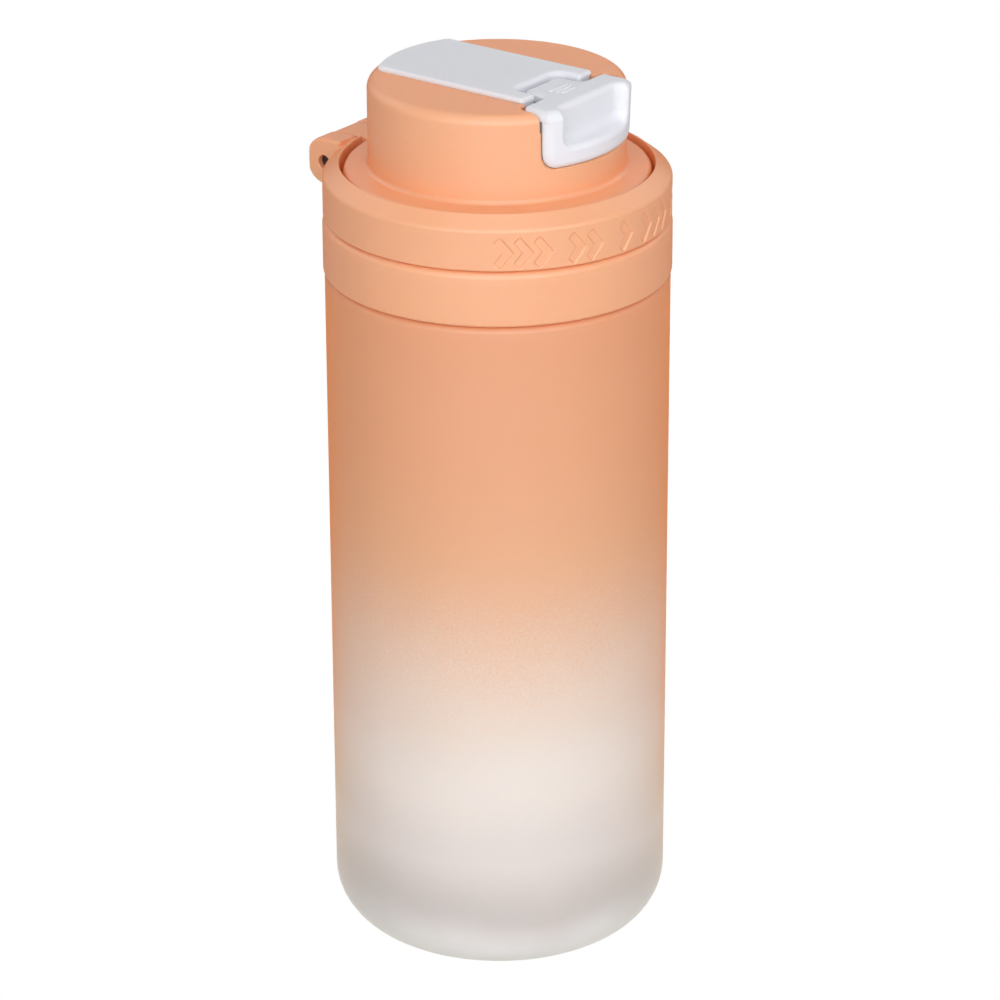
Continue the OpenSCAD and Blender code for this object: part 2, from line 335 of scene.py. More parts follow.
def turned(name, line, around=256, axis="z", at=(0, 0, 0), sharp=35):
    """A closed outline of (r, height) points turned round an axis. Points on the axis close it."""
    line = np.asarray(line, float)
    ang = np.linspace(0, 2 * math.pi, around, endpoint=False)
    on = line[:, 0] < 1e-6
    base, co = [], []
    for (r, h), pole in zip(line, on):
        base.append(len(co))
        if pole:
            co.append((0, 0, h))
        else:
            co.extend((r * c, r * s, h) for c, s in zip(np.cos(ang), np.sin(ang)))
    faces = []
    n = len(line)
    for i in range(n):
        j = (i + 1) % n
        if on[i] and on[j]:
            continue
        for k in range(around):
            l = (k + 1) % around
            a, b = base[i], base[j]
            if on[i]:
                faces.append((a, b + l, b + k))
            elif on[j]:
                faces.append((a + k, a + l, b))
            else:
                faces.append((a + k, a + l, b + l, b + k))
    co = np.array(co)
    if axis == "x":
        co = co[:, [2, 0, 1]]
    co = co + np.array(at)
    me = bpy.data.meshes.new(name)
    me.from_pydata((co * MM).tolist(), [], faces)
    me.update()
    vol = 0.0
    for p in me.polygons:
        vol += p.area * p.normal.dot(p.center - Vector(at) * MM)
    if vol < 0:
        me.flip_normals()
    me.polygons.foreach_set("use_smooth", np.full(len(me.polygons), True))
    me.set_sharp_from_angle(angle=math.radians(sharp))
    return me


def swept(name, path, radius, sides=14):
    """A round wire with closed, domed ends along a path of points."""
    path = np.asarray(path, float)
    tan = np.gradient(path, axis=0)
    tan /= np.linalg.norm(tan, axis=1)[:, None]
    ring = []
    nrm = np.cross(tan[0], [0.3, 0.8, 0.52])
    for p, t in zip(path, tan):
        nrm = nrm - t * (nrm @ t)
        nrm /= np.linalg.norm(nrm)
        bi = np.cross(t, nrm)
        ring.append((p, nrm, bi, t))
    rows = []
    for a in (80, 55, 28):
        p, n, b, t = ring[0]
        rows.append((p - t * radius * math.sin(math.radians(a)), n, b, radius * math.cos(math.radians(a))))
    rows += [(p, n, b, radius) for p, n, b, t in ring]
    for a in (28, 55, 80):
        p, n, b, t = ring[-1]
        rows.append((p + t * radius * math.sin(math.radians(a)), n, b, radius * math.cos(math.radians(a))))
    co, faces = [], []
    for p, n, b, r in rows:
        for k in range(sides):
            q = 2 * math.pi * k / sides
            co.append(p + (n * math.cos(q) + b * math.sin(q)) * r)
    for i in range(len(rows) - 1):
        for k in range(sides):
            l = (k + 1) % sides
            faces.append((i * sides + k, i * sides + l, (i + 1) * sides + l, (i + 1) * sides + k))
    faces.append(tuple(range(sides))[::-1])
    faces.append(tuple((len(rows) - 1) * sides + k for k in range(sides)))
    me = bpy.data.meshes.new(name)
    me.from_pydata((np.array(co) * MM).tolist(), [], faces)
    me.update()
    me.polygons.foreach_set("use_smooth", np.full(len(me.polygons), True))
    return me


def piece(me, node, body, mat):
    ob = bpy.data.objects.new(me.name, me)
    scene.collection.objects.link(ob)
    me.materials.append(mat)
    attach(ob, body)
    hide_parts(node)
    return ob


# ---------------------------------------------------------------- materials


class Nodes:
    """A small helper for building a shader."""

    def __init__(self, name):
        self.mat = bpy.data.materials.new(name)
        self.mat.use_nodes = True
        self.t = self.mat.node_tree
        self.t.nodes.clear()
        self.out = self.t.nodes.new("ShaderNodeOutputMaterial")
        self.co = self.t.nodes.new("ShaderNodeTexCoord").outputs["Object"]

    def link(self, a, b):
        self.t.links.new(a, b)

    def noise(self, scale, detail=2.0, rough=0.5):
        n = self.t.nodes.new("ShaderNodeTexNoise")
        n.inputs["Scale"].default_value = scale
        n.inputs["Detail"].default_value = detail
        n.inputs["Roughness"].default_value = rough
        self.link(self.co, n.inputs["Vector"])
        return n.outputs["Fac"]

    def remap(self, x, a, b, c, d, smooth=False):
        n = self.t.nodes.new("ShaderNodeMapRange")
        n.interpolation_type = "SMOOTHSTEP" if smooth else "LINEAR"
        for key, value in zip(("From Min", "From Max", "To Min", "To Max"), (a, b, c, d)):
            n.inputs[key].default_value = value
        self.link(x, n.inputs["Value"])
        return n.outputs["Result"]

    def math(self, op, a, b=None):
        n = self.t.nodes.new("ShaderNodeMath")
        n.operation = op
        for i, x in enumerate((a, b)):
            if x is None:
                continue
            if isinstance(x, (int, float)):
                n.inputs[i].default_value = x
            else:
                self.link(x, n.inputs[i])
        return n.outputs["Value"]

    def mix(self, fac, a, b):
        n = self.t.nodes.new("ShaderNodeMix")
        n.data_type = "RGBA"
        self.link(fac, n.inputs["Factor"])
        for key, x in (("A", a), ("B", b)):
            s = [q for q in n.inputs if q.name == key and q.type == "RGBA"][0]
            if isinstance(x, tuple):
                s.default_value = (*x, 1.0)
            else:
                self.link(x, s)
        return [q for q in n.outputs if q.type == "RGBA"][0]

    def ramp(self, fac, stops):
        n = self.t.nodes.new("ShaderNodeValToRGB")
        n.color_ramp.interpolation = "EASE"
        el = n.color_ramp.elements
        while len(el) < len(stops):
            el.new(0.5)
        for e, (pos, col) in zip(el, stops):
            e.position = pos
            e.color = (*col, 1.0)
        self.link(fac, n.inputs["Fac"])
        return n.outputs["Color"]

    def height(self):
        s = self.t.nodes.new("ShaderNodeSeparateXYZ")
        self.link(self.co, s.inputs["Vector"])
        return s.outputs["Z"]

    def bump(self, h, distance, strength=1.0, after=None):
        n = self.t.nodes.new("ShaderNodeBump")
        n.inputs["Distance"].default_value = distance
        n.inputs["Strength"].default_value = strength
        self.link(h, n.inputs["Height"])
        if after is not None:
            self.link(after, n.inputs["Normal"])
        return n.outputs["Normal"]

    def surface(self, colour, rough, normal=None, **fixed):
        b = self.t.nodes.new("ShaderNodeBsdfPrincipled")
        for key, x in (("Base Color", colour), ("Roughness", rough)):
            if isinstance(x, tuple):
                b.inputs[key].default_value = (*x, 1.0)
            elif isinstance(x, (int, float)):
                b.inputs[key].default_value = x
            else:
                self.link(x, b.inputs[key])
        if normal is not None:
            self.link(normal, b.inputs["Normal"])
        for key, x in fixed.items():
            b.inputs[key.replace("_", " ")].default_value = x
        self.link(b.outputs["BSDF"], self.out.inputs["Surface"])
        self.shader = b


def srgb(r, g, b):
    f = lambda c: c / 255 / 12.92 if c <= 10 else ((c / 255 + 0.055) / 1.055) ** 2.4
    return f(r), f(g), f(b)


def peach_plastic():
    n = Nodes("peach_plastic")
    cloud = n.noise(38, 3)
    grain = n.noise(2400, 2, 0.6)
    tone = n.mix(n.remap(cloud, 0.3, 0.7, 0, 1), (0.955, 0.458, 0.248), (0.965, 0.476, 0.264))
    tone = n.mix(n.remap(grain, 0.25, 0.6, 0.22, 0.0), tone, (0.93, 0.405, 0.203))
    rough = n.remap(n.noise(900, 2), 0.3, 0.7, 0.35, 0.43)
    n.surface(
        tone, rough, n.bump(grain, 0.00003, 0.55),
        Subsurface_Weight=0.3, Subsurface_Radius=(1.0, 0.4, 0.15), Subsurface_Scale=0.001,
        IOR=1.5, Specular_IOR_Level=1.0, Sheen_Weight=0.55, Sheen_Roughness=0.5, Sheen_Tint=(1.0, 0.22, 0.02, 1.0),
    )
    return n.mat


def white_plastic():
    n = Nodes("white_plastic")
    cloud = n.noise(45, 3)
    grain = n.noise(2600, 2, 0.6)
    tone = n.mix(n.remap(cloud, 0.3, 0.7, 0, 1), (0.834, 0.840, 0.898), (0.856, 0.860, 0.908))
    rough = n.remap(n.noise(700, 2), 0.3, 0.7, 0.44, 0.54)
    n.surface(
        tone, rough, n.bump(grain, 0.00002, 0.4),
        Subsurface_Weight=0.5, Subsurface_Radius=(1.0, 0.95, 0.9), Subsurface_Scale=0.0015,
        IOR=1.47,
    )
    return n.mat


def inner_plastic():
    n = Nodes("inner_plastic")
    cloud = n.noise(60, 3)
    grain = n.noise(1800, 2, 0.6)
    tone = n.mix(n.remap(cloud, 0.3, 0.7, 0, 1), (0.74, 0.74, 0.77), (0.78, 0.78, 0.80))
    rough = n.remap(n.noise(500, 2), 0.3, 0.7, 0.30, 0.40)
    n.surface(
        tone, rough, n.bump(grain, 0.00002, 0.3),
        Subsurface_Weight=0.25, Subsurface_Radius=(1.0, 0.95, 0.9), Subsurface_Scale=0.002,
        IOR=1.47,
    )
    return n.mat


def silicone_rubber():
    n = Nodes("silicone")
    cloud = n.noise(80, 3)
    grain = n.noise(3000, 2, 0.6)
    tone = n.mix(n.remap(cloud, 0.3, 0.7, 0, 1), (0.66, 0.67, 0.68), (0.72, 0.73, 0.74))
    rough = n.remap(n.noise(1200, 2), 0.3, 0.7, 0.55, 0.70)
    n.surface(
        tone, rough, n.bump(grain, 0.00002, 0.4),
        Subsurface_Weight=0.4, Subsurface_Radius=(1.0, 1.0, 1.0), Subsurface_Scale=0.003,
        IOR=1.41,
    )
    return n.mat


def steel_wire():
    n = Nodes("steel")
    grain = n.noise(2200, 3, 0.6)
    # The near-black base colour is painted shade: it makes the hinge pin's end read as the dark hole it sits in, and
    # it also darkens the springs and the latch rod.
    tone = n.mix(n.remap(n.noise(240, 3), 0.3, 0.7, 0, 1), (0.055, 0.055, 0.06), (0.085, 0.085, 0.09))
    rough = n.remap(grain, 0.3, 0.7, 0.24, 0.38)
    n.surface(tone, rough, n.bump(grain, 0.00001, 0.5), Metallic=1.0)
    return n.mat


def frosted_body():
    n = Nodes("frosted_body")
    z = n.height()
    mist = n.noise(2300, 2, 0.7)
    drift = n.noise(26, 3)
    lift = n.math("ADD", z, n.remap(drift, 0.3, 0.7, -0.0022, 0.0022))
    at = n.remap(lift, 0.0, 0.1516, 0.0, 1.0)
    # Base colour of the milky lower part, by height. Around z=15 mm it is darker: painted shade where the thick base
    # shows through the frosted wall. At the very bottom it is lighter: painted bounce light from the floor. Further
    # up, the steps mix the milky colour with painted light and shade fitted to the brightness at each height.
    base = n.ramp(at, [
        (0.02, (0.94, 0.91, 0.89)),
        (0.10, (0.652, 0.596, 0.573)),
        (0.19, (0.816, 0.744, 0.719)),
        (0.30, (0.911, 0.817, 0.763)),
        (0.42, (0.890, 0.761, 0.677)),
        (1.00, (0.884, 0.747, 0.662)),
    ])
    paint = n.ramp(at, [
        (0.40, (0.863, 0.493, 0.303)),
        (0.62, (0.850, 0.443, 0.249)),
        (0.85, (0.842, 0.394, 0.211)),
        (1.00, (0.835, 0.372, 0.196)),
    ])
    bloom = n.ramp(at, [
        (0.04, (1.0, 0.96, 0.86)),
        (0.16, (0.96, 0.72, 0.52)),
        (0.22, (0.88, 0.52, 0.25)),
        (0.28, (0.88, 0.42, 0.14)),
        (0.40, (0.94, 0.34, 0.09)),
        (0.70, (1.0, 0.29, 0.06)),
    ])
    cover = n.remap(lift, 0.050, 0.104, 0.0, 1.0, True)
    speck = n.math("MULTIPLY", n.remap(mist, 0.3, 0.7, -0.5, 0.5), 0.42)
    edge = n.math("MULTIPLY", n.math("MULTIPLY", cover, n.math("SUBTRACT", 1.0, cover)), 4.0)
    cover = n.math("ADD", cover, n.math("MULTIPLY", speck, edge))
    cover = n.remap(cover, 0.0, 1.0, 0.0, 1.0)
    tone = n.mix(cover, base, paint)
    rough = n.remap(n.noise(1400, 2), 0.3, 0.7, 0.46, 0.56)
    n.surface(
        tone, rough, n.bump(mist, 0.00002, 0.45),
        Subsurface_Weight=0.25, Subsurface_Radius=(1.0, 0.7, 0.5), Subsurface_Scale=0.004,
        IOR=1.5, Specular_IOR_Level=1.0, Sheen_Weight=1.0, Sheen_Roughness=0.5,
    )
    n.link(bloom, n.shader.inputs["Sheen Tint"])
    return n.mat


PEACH = peach_plastic()
WHITE = white_plastic()
INNER = inner_plastic()
SILICONE = silicone_rubber()
STEEL = steel_wire()
FROST = frosted_body()

# ---------------------------------------------------------------- bottle

ZB = 151.6
R = 36.5


def bottle_mesh():
    dish_r = (20.0**2 + 3.0**2) / 6.0
    out = [(0.0, 3.0)]
    for r in np.linspace(0, 20, 14)[1:-1]:
        out.append((r, 3.0 - dish_r + math.sqrt(dish_r**2 - r * r)))
    shell = rounded([
        (19.6, 0.0, 0.5), (R, 0.0, 11.2), (R, ZB, 1.5), (30.4, ZB, 0.3),
        (30.4, ZB + 3.5), (30.9, ZB + 3.6), (30.9, ZB + 4.4), (30.4, ZB + 4.5),
        (30.4, ZB + 15, 0.7), (28.0, ZB + 15, 0.7), (28.0, ZB - 3, 0.8), (34.1, ZB - 3, 5.0), (34.1, 2.4, 8.8),
        (18.0, 2.4, 0), (10.0, 4.0),
    ], 12)[:-2]
    shell = refine(shell, 6.0, closed=False)
    inner = []
    for r in np.linspace(19.0, 0, 14):
        inner.append((r, 3.0 - dish_r + math.sqrt((dish_r + 2.4) ** 2 - r * r)))
    line = np.concatenate([np.array(out), shell, np.array(inner)])
    return turned("bottle_shell", line, 288)


def helix_ridge(name, r_root, r_crest, w_root, w_crest, z0, turns=1.2, lead=4.5):
    n = 150
    deep = -0.4 if r_crest > r_root else 0.4
    co, faces = [], []
    for i in range(n + 1):
        a = 2 * math.pi * turns * i / n
        k = min(1.0, min(i, n - i) / 14)
        k = 0.06 + 0.94 * k * k * (3 - 2 * k)
        rc = r_root + (r_crest - r_root) * k
        rm = r_root + (r_crest - r_root) * k * 0.8
        row = [
            (r_root + deep, -w_root / 2), (rm, -w_crest / 2 - 0.12), (rc, -w_crest / 2 + 0.15),
            (rc, w_crest / 2 - 0.15), (rm, w_crest / 2 + 0.12), (r_root + deep, w_root / 2),
        ]
        for r, dz in row:
            co.append((r * math.cos(a), r * math.sin(a), z0 + lead * turns * i / n + dz))
    m = 6
    for i in range(n):
        for j in range(m):
            faces.append((i * m + j, i * m + (j + 1) % m, (i + 1) * m + (j + 1) % m, (i + 1) * m + j))
    me = bpy.data.meshes.new(name)
    ends = [tuple(range(m))[::-1], tuple(n * m + j for j in range(m))]
    me.from_pydata((np.array(co) * MM).tolist(), [], faces + ends)
    me.update()
    vol = sum(p.area * p.normal.dot(p.center) for p in me.polygons)
    if vol < 0:
        me.flip_normals()
    me.polygons.foreach_set("use_smooth", np.full(len(me.polygons), True))
    me.set_sharp_from_angle(angle=math.radians(40))
    return me


body = piece(bottle_mesh(), "bottle_body", "bottle", FROST)
neck_thread = piece(
    helix_ridge("neck_thread", 30.4, 31.9, 2.0, 1.0, ZB + 7.0), "bottle_body", "bottle", FROST
)

ring_line = rounded([
    (34.7, ZB + 12.1, 0.5), (36.8, ZB + 12.1, 1.6), (36.8, ZB + 0.2, 0.8), (33.8, ZB + 0.2),
    (33.8, ZB), (31.4, ZB), (31.4, ZB + 0.6), (30.7, ZB + 0.6, 0.2), (30.7, ZB + 3.2, 0.4), (34.7, ZB + 3.2, 0.5),
], 10)
piece(turned("neck_band", refine(ring_line, 2.0), 288), "neck_ring", "bottle", PEACH)

gasket_line = rounded([
    (28.1, ZB + 15.05, 0.4), (31.6, ZB + 15.05, 0.4), (31.6, ZB + 16.55, 0.4), (28.1, ZB + 16.55, 0.4),
], 6)
piece(turned("gasket_ring", gasket_line, 192), "neck_gasket", "gasket", SILICONE)

# ---------------------------------------------------------------- screw lid

HY, HZ = 38.5, ZB + 18.1
RIM_Z = ZB + 23.5


def collar_field(x, y, z):
    r = np.hypot(x, y)
    bevel = ((r - 33.65) * 2.32 + (z - (RIM_Z - 0.1)) * 3.0) / math.hypot(2.32, 3.0)
    f = rmax(r - 36.65, bevel, 0.45)
    f = rmax(f, 33.05 - r, 0.45)
    f = rmax(f, ZB + 12.3 - z, 0.5)
    f = cut(f, np.maximum(r - 34.2, z - (ZB + 18.8)), 0.15)
    ax = np.abs(x)
    ear = np.minimum(
        np.hypot(y - HY, z - np.clip(z, HZ - 0.4, HZ + 0.8)) - 4.6,
        polygon(y, z, [(34.2, HZ - 4.2), (34.2, RIM_Z - 0.1), (HY, HZ + 5.4), (HY, HZ - 5.0)]),
    )
    ear = rmax(ear, slab(ax, 4.25, 10.2), 0.8)
    ear = np.maximum(ear, 34.3 - r)
    f = rmin(f, ear, 0.5)
    slot = np.maximum(ax - 4.25, rect(y, z, 30, 46, HZ, RIM_Z + 4))
    slot = np.minimum(slot, np.maximum(ax - 4.25, rect(y, z, 34, 46, HZ - 4.9, HZ + 1)))
    f = cut(f, slot, 0.3)
    f = cut(f, np.hypot(y - HY, z - HZ) - 1.52, 0.25)
    turn = np.degrees(np.arctan2(y, x))
    marks = np.full(np.shape(x), 9.0)
    row = np.abs(z - (ZB + 16.2)) < 4.5
    for c in (0, 1):
        for a in (0, 6.45, 12.9, 24.5, 31.1, 44.1):
            off = (turn - (-90 - 48.26 + 54.8 * c + a) + 180) % 360 - 180
            on = row & (np.abs(off + 3) < 8)
            if not on.any():
                continue
            t = np.radians(off[on]) * 36.65
            h = z[on] - (ZB + 16.2)
            d = polygon(
                t, h,
                [(-0.32, 0), (-2.66, 2.86), (-3.36, 2.18), (-1.72, 0), (-3.36, -2.18), (-2.66, -2.86)],
                0.3,
            )
            marks[on] = np.minimum(marks[on], d)
    return cut(f, np.maximum(marks, 36.32 - r), 0.4)


marks_from, marks_to = math.radians(-144), math.radians(-28)
collar_angles = np.concatenate([
    np.linspace(marks_from, marks_to, 640, endpoint=False),
    np.linspace(marks_to, math.radians(70), 110, endpoint=False),
    np.linspace(math.radians(70), math.radians(110), 130, endpoint=False),
    np.linspace(math.radians(110), marks_from + 2 * math.pi, 120, endpoint=False),
])
collar = skin(
    "lid_collar_ring", collar_field, collar_angles,
    steps((32.6, 37.1, 0.13), (37.1, 43.7, 0.28)),
    steps((163.4, 175.7, 0.13)), polar=True,
)
piece(collar, "lid_collar", "lid", PEACH)


def deck_field(x, y, z):
    r = np.hypot(x, y)
    deck = rmax(rmax(r - 34.1, z - (ZB + 18.8), 0.3), ZB + 16.65 - z, 0.2)
    spout = rmax(r - 13.0, z - (ZB + 31.4), 0.8)
    spout = np.maximum(spout, ZB + 16.65 - z)
    f = rmin(deck, spout, 1.2)
    skirt = rmax(rmax(r - 34.0, 32.5 - r, 0.3), slab(z, ZB + 3.6, ZB + 17.5), 0.3)
    lip = rmax(rmax(r - 27.7, 26.2 - r, 0.4), slab(z, ZB + 14.25, ZB + 17.5), 0.4)
    f = np.minimum(f, np.minimum(skirt, lip))
    tab = polygon(
        y, z,
        [(-12.2, ZB + 22.2), (-15, ZB + 24.2), (-16, ZB + 24.2), (-16, ZB + 26.4), (-12.2, ZB + 26.4)],
    )
    f = rmin(f, rmax(tab, np.abs(x) - 4, 0.4), 0.4)
    f = cut(f, r - 11.0, 0.7)
    return cut(f, np.maximum(np.abs(x) - 4.4, 33.7 - y), 0.2)


deck_angles = np.concatenate([
    np.linspace(math.radians(-110), math.radians(-70), 90, endpoint=False),
    np.linspace(math.radians(-70), math.radians(80), 150, endpoint=False),
    np.linspace(math.radians(80), math.radians(100), 50, endpoint=False),
    np.linspace(math.radians(100), math.radians(250), 150, endpoint=False),
])
deck = skin(
    "spout_deck", deck_field, deck_angles,
    steps((10.5, 13.8, 0.16), (13.8, 25.8, 0.6), (25.8, 34.5, 0.2)),
    steps((154.8, 165.4, 0.3), (165.4, 171.6, 0.16), (171.6, 181.6, 0.35), (181.6, 183.4, 0.15)),
    polar=True,
)
piece(deck, "lid_base", "lid", PEACH)
piece(
    helix_ridge("lid_thread", 32.5, 31.0, 2.0, 1.0, ZB + 5.15), "lid_base", "lid", PEACH
)


def rod_mesh(name, r, x0, x1, y, z, edge):
    line = rounded([(0, x0), (r, x0, edge), (r, x1, edge), (0, x1)], 6)
    return turned(name, refine(line, 1.0, closed=False), 48, axis="x", at=(0, y, z))


piece(rod_mesh("hinge_rod", 1.5, -9.0, 9.0, HY, HZ, 0.3), "hinge_pin", "lid", STEEL)


def coil_path(r, pitch, turns, per=40):
    n = int(per * turns)
    a = np.linspace(0, 2 * math.pi * turns, n + 1)
    return np.stack([r * np.cos(a), r * np.sin(a), pitch * a / (2 * math.pi)], 1)


c = coil_path(2.3, 0.68, 4.0)
piece(
    swept("hinge_coil", np.stack([-1.4 + c[:, 2], HY + c[:, 1], HZ - c[:, 0]], 1), 0.25),
    "hinge_spring", "lid", STEEL,
)

# ---------------------------------------------------------------- flip cap

TOP = ZB + 42.1


def cap_field(x, y, z):
    r = np.hypot(x, y)
    ax = np.abs(x)
    dome = rmax(r - 27.05, z - TOP, 2.2)
    dome = np.maximum(dome, ZB + 19.2 - z)
    cone = ((r - 31.2) * 0.25 + (z - (ZB + 23.0)) * 2.85) / math.hypot(0.25, 2.85)
    flange = rmax(rmax(r - 32.3, cone, 1.1), ZB + 19.2 - z, 0.5)
    f = rmin(dome, flange, 0.9)
    f = cut(f, rmax(r - 25.05, z - (TOP - 2.2), 2.0), 0.3)
    q = np.hypot(y - HY, z - HZ)
    clear = np.interp(ax, [3.9, 12, 20], [8.1, 9.7, 13.65])
    f = cut(f, np.maximum((q - clear) * 0.93, slab(ax, 3.9, 20)), 0.4)
    gap = np.minimum(
        np.maximum(rect(x, z, -15.1, 15.1, ZB + 29.7, 260, 3.4), 26.75 - r),
        np.minimum(
            np.maximum(rect(x, z, -14.66, 14.66, ZB + 29.94, 260, 3.1), 26.1 - r),
            rect(x, z, -14.3, 14.3, ZB + 30.9, 260, 2.6),
        ),
    )
    f = cut(f, np.maximum(gap, y + 16.4), 0.3)
    plan = np.minimum(
        rect(x, y, -15.1, 15.1, -60, -16.4, 2.3), rect(x, y, -12.05, 12.05, -24, -7.3, 0.4)
    )
    f = cut(f, np.maximum(plan, TOP - 4 - z), 0.25)
    for py in (0, 16):
        f = cut(f, np.maximum(np.hypot(x, y - py) - 1.45, TOP - 5 - z))
    cheek = np.minimum(
        polygon(y, z, [
            (-24.2, ZB + 24), (-24.2, ZB + 29.4), (-20.7, ZB + 29.6), (-20.7, ZB + 31.9),
            (-17.2, ZB + 33.9), (-15.2, ZB + 31.9), (-15.2, ZB + 24),
        ]),
        np.hypot(y + 19, z - (ZB + 31.9)) - 2.2,
    )
    f = np.minimum(f, rmax(cheek, slab(ax, 8.4, 10), 0.25))
    f = np.minimum(f, np.maximum(ax - 8.9, rect(y, z, -16.4, -15.2, ZB + 28.4, ZB + 37.7, 0.2)))
    arm = np.minimum(
        np.hypot(y - HY, z - np.clip(z, HZ, HZ + 0.8)) - 4.45,
        polygon(y, z, [
            (29.5, ZB + 19.2), (29.5, ZB + 23.2), (31.5, RIM_Z - 0.2), (34.2, RIM_Z - 0.15),
            (HY, HZ + 5.25), (HY, HZ), (35, ZB + 19.2),
        ]),
    )
    f = rmin(f, rmax(arm, ax - 3.9, 0.5), 0.5)
    f = cut(f, q - 1.56)
    f = cut(f, np.maximum(np.minimum(q - 3.1, rect(y, z, HY - 3.1, HY + 1.2, HZ - 8, HZ)), ax - 1.9))
    return cut(f, np.maximum(np.hypot(y + 19, z - (ZB + 31.9)) - 1.02, ax - 12))


cap = skin(
    "flip_cap", cap_field,
    both_sides(steps(
        (0, 3.3, 0.36), (3.3, 4.5, 0.15), (4.5, 11.4, 0.36), (11.4, 14.4, 0.22), (14.4, 15.9, 0.12),
        (15.9, 30.5, 0.36), (30.5, 32.9, 0.2),
    )),
    steps(
        (-32.9, -30.5, 0.2), (-30.5, -27.4, 0.36), (-27.4, -21.5, 0.2), (-21.5, -17.0, 0.3), (-17.0, -15.8, 0.12),
        (-15.8, -8.0, 0.36), (-8.0, -6.9, 0.15), (-6.9, 24.0, 0.4), (24.0, 43.4, 0.26),
    ),
    steps(
        (164.9, 170.4, 0.28), (170.4, 176.2, 0.15), (176.2, 180.8, 0.4), (180.8, 182.0, 0.12), (182.0, 185.4, 0.2),
        (185.4, 190.8, 0.36), (190.8, 194.1, 0.15),
    ),
)
piece(cap, "flip_lid", "flip", PEACH)


def carrier_field(x, y, z):
    r = np.hypot(x, y)
    plate = rmax(r - 25.0, slab(z, ZB + 34.4, ZB + 36.0), 0.3)
    wall = rmax(rmax(r - 25.0, 23.4 - r, 0.3), slab(z, ZB + 34.4, ZB + 37.6), 0.3)
    f = np.minimum(plate, wall)
    f = np.minimum(f, np.maximum(r - 4.95, slab(z, ZB + 33.6, ZB + 35)))
    return rmax(f, -13.6 - y, 0.3)


carrier = skin(
    "carrier_plate", carrier_field,
    both_sides(steps((0, 23, 0.5), (23, 25.4, 0.2))),
    steps((-14.1, -13.0, 0.2), (-13.0, 23, 0.5), (23, 25.4, 0.2)),
    steps((184.9, 189.6, 0.16)),
)
piece(carrier, "seal_carrier", "flip", INNER)

seal_line = rounded([
    (0, ZB + 30.8), (10.3, ZB + 30.8, 0.5), (10.3, ZB + 31.6, 0.3), (13.6, ZB + 31.6, 0.7), (13.6, ZB + 34.4, 0.4),
    (5.0, ZB + 34.4, 0.1), (5.0, ZB + 33.6, 0.1), (0, ZB + 33.6),
], 6)
piece(turned("seal_pad", refine(seal_line, 1.5, closed=False), 128), "spout_seal", "flip", SILICONE)


def strip_field(x, y, z):
    r = np.hypot(x, y)
    plan = rect(x, y, -12.2, 12.2, -15.6, 60, 0.9)
    plan = rmax(plan, r - 25.1, 1.0)
    notch = rect(x, y, -7.6, 7.6, -60, -9.7, 2.6)
    f = rmax(rmax(plan, -notch, 0.9), z - (ZB + 43.15), 0.7)
    f = np.maximum(f, rmax(-notch, z - (ZB + 43.15), 1.05))
    f = np.maximum(f, TOP - 0.06 - z)
    tray = rect(x, y, -11.9, 11.9, -15.52, -7.6, 0.85)
    walls = np.maximum(rmax(tray, -notch, 0.9), slab(z, TOP - 3.5, TOP + 0.1))
    f = np.minimum(f, rmin(walls, np.maximum(tray, slab(z, TOP - 4, TOP - 2.2)), 0.3))
    for py in (0, 16):
        f = np.minimum(f, np.maximum(np.hypot(x, y - py) - 1.4, slab(z, TOP - 3.2, TOP + 0.4)))
    return f


strip = skin(
    "cover_strip", strip_field,
    both_sides(steps((0, 4.4, 0.3), (4.4, 9.6, 0.16), (9.6, 10.4, 0.25), (10.4, 12.6, 0.13))),
    steps((-16.1, -13.6, 0.13), (-13.6, -12.0, 0.2), (-12.0, -6.8, 0.16), (-6.8, 18.5, 0.36), (18.5, 25.6, 0.2)),
    steps((189.3, 193.4, 0.2), (193.4, 195.1, 0.11)),
)
piece(strip, "top_strip", "flip", WHITE)

LY, LZ = -19.0, ZB + 31.9
LTOP = TOP + 0.3


def latch_field(x, y, z):
    r = np.hypot(x, y)
    ax = np.abs(x)
    out = rmax(r - 27.65 - 0.036 * (z - ZB - 30), z - LTOP, 2.2)
    block = rmax(out, rect(x, z, -14.6, 14.6, ZB + 30.0, 260, 3.0), 1.4)
    block = rmax(block, y + 21.3, 0.3)
    block = np.maximum(block, np.minimum(rect(x, z, -13.9, 13.9, ZB + 31.2, 260, 2.4), 26.6 - r))
    bar = rect(x, y, -14.6, 14.6, -60, -17.2, 2.0)
    tongue = rect(x, y, -6, 6, -26, -11.2, 1.7)
    wide = rmin(bar, tongue, 2.0)
    top = rmax(rmax(out, bar, 0.6), LTOP - 2.3 - z, 0.2)
    thin = rmax(rmax(wide, z - LTOP, 0.6), LTOP - 1.7 - z, 0.2)
    thin = np.maximum(thin, out)
    f = np.minimum(np.minimum(block, top), thin)
    f = np.maximum(f, rmax(z - LTOP, ax - 14.6, 1.8))
    scoop = rmax(rect(x, z, -10.7, 10.7, ZB + 34.5, 260, 2.2), y + 23.2, 2.0)
    f = cut(f, scoop, 1.3)
    for i in range(3):
        rib = rect(x, y, -3.2 + 0.45 * i, 3.2 - 0.45 * i, -16.0 - 1.3 * i, -15.4 - 1.3 * i, 0.29)
        f = rmin(f, rmax(np.maximum(rib, LTOP - 0.4 - z), z - (LTOP + 0.25), 0.24), 0.2)
    q = np.hypot(y - LY, z - LZ)
    f = np.minimum(f, rmax(q - 2.2, ax - 8.1, 0.2))
    f = np.minimum(f, np.maximum(ax - 8.1, rect(y, z, -21.6, LY, ZB + 30.3, LZ + 1.6)))
    hook = polygon(y, z, [
        (-20, LZ), (-18, LZ), (-18, ZB + 24.1), (-16.9, ZB + 24.1), (-16.9, ZB + 23.3), (-18, ZB + 22.2), (-20, ZB + 22.2),
    ])
    f = np.minimum(f, rmax(hook, ax - 4.5, 0.3))
    return cut(f, np.maximum(q - 1.05, ax - 10))


